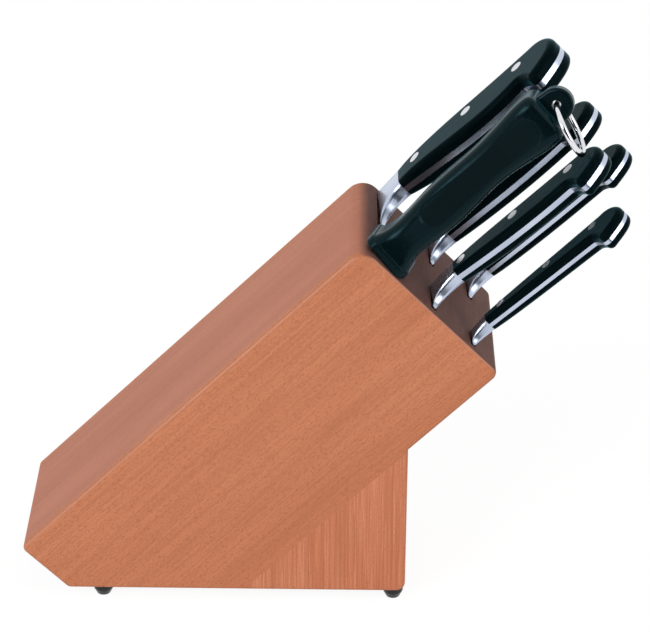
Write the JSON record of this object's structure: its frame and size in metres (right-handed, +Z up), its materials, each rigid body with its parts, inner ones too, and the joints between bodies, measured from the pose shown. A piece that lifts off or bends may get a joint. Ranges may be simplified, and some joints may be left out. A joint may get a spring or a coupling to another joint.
{
  "type": "knife block set",
  "caption": "Slanted wooden knife block on a supporting wedge, with forged riveted-handle knives and a ringed honing steel standing in its slots.",
  "frame": {"origin": "bottom centre of the bounding box of the block with every knife and the steel fully in, on the table under the rubber feet", "axes": "+Z up, +X towards the upright front of the wedge and the slotted face, +Y towards the far side, where the larger knives stand"},
  "size_m": [0.321, 0.0948, 0.298],
  "materials": {
    "panel_beech": "oiled, fine straight grain along the slant",
    "board_beech": "oiled, end grain darker on the slotted face",
    "wedge_beech": "oiled, upright grain",
    "dowel_beech": "raw, fluted",
    "black_rubber": "matt",
    "zinc_steel": "zinc plated",
    "forged_steel": "satin ground, bolster polished",
    "black_scales": "satin black",
    "rivet_steel": "ground flush",
    "ribbed_steel": "fine lengthwise ribs",
    "black_handle": "satin black, moulded",
    "ring_chrome": "polished wire"
  },
  "bodies": {
    "block": {"near_side_panel": "panel_beech", "far_side_panel": "panel_beech", "roof_board": "board_beech", "upper_core_board": "board_beech", "lower_core_board": "board_beech", "bottom_board": "board_beech", "top_row_near_strip": "board_beech", "top_row_middle_strip": "board_beech", "chef_slot_packer": "board_beech", "chef_slot_stop": "board_beech", "middle_row_strip": "board_beech", "middle_row_near_stop": "board_beech", "middle_row_far_stop": "board_beech", "lower_row_strip": "board_beech", "lower_row_near_stop": "board_beech", "lower_row_far_stop": "board_beech", "foot_wedge": "wedge_beech", "dowels": "dowel_beech", "rubber_feet": "black_rubber", "foot_screws": "zinc_steel", "steel_channel_stop": "board_beech"},
    "chef_knife": {"chef_knife_blade": "forged_steel", "chef_knife_upper_scale": "black_scales", "chef_knife_lower_scale": "black_scales", "chef_knife_rivets": "rivet_steel"},
    "slicing_knife": {"slicing_knife_blade": "forged_steel", "slicing_knife_upper_scale": "black_scales", "slicing_knife_lower_scale": "black_scales", "slicing_knife_rivets": "rivet_steel"},
    "carving_knife": {"carving_knife_blade": "forged_steel", "carving_knife_upper_scale": "black_scales", "carving_knife_lower_scale": "black_scales", "carving_knife_rivets": "rivet_steel"},
    "boning_knife": {"boning_knife_blade": "forged_steel", "boning_knife_upper_scale": "black_scales", "boning_knife_lower_scale": "black_scales", "boning_knife_rivets": "rivet_steel"},
    "paring_knife": {"paring_knife_blade": "forged_steel", "paring_knife_upper_scale": "black_scales", "paring_knife_lower_scale": "black_scales", "paring_knife_rivets": "rivet_steel"},
    "honing_steel": {"steel_rod": "ribbed_steel", "steel_handle": "black_handle"},
    "hanging_ring": {"steel_ring": "ring_chrome"}
  },
  "joints": [
    {"name": "chef_knife_slide", "type": "slide", "parent": "block", "child": "chef_knife", "axis": [0.7071, 0, 0.7071], "range_m": [0, 0.215]},
    {"name": "slicing_knife_slide", "type": "slide", "parent": "block", "child": "slicing_knife", "axis": [0.7071, 0, 0.7071], "range_m": [0, 0.205]},
    {"name": "carving_knife_slide", "type": "slide", "parent": "block", "child": "carving_knife", "axis": [0.7071, 0, 0.7071], "range_m": [0, 0.185]},
    {"name": "boning_knife_slide", "type": "slide", "parent": "block", "child": "boning_knife", "axis": [0.7071, 0, 0.7071], "range_m": [0, 0.155]},
    {"name": "paring_knife_slide", "type": "slide", "parent": "block", "child": "paring_knife", "axis": [0.7071, 0, 0.7071], "range_m": [0, 0.095]},
    {"name": "steel_slide", "type": "slide", "parent": "block", "child": "honing_steel", "axis": [0.7071, 0, 0.7071], "range_m": [0, 0.23]},
    {"name": "ring_swing", "type": "hinge", "parent": "honing_steel", "child": "hanging_ring", "pos_m": [0.1152, -0.02355, 0.28465], "axis": [-0.183, -0.9659, 0.183], "range_deg": [0, 200]}
  ]
}
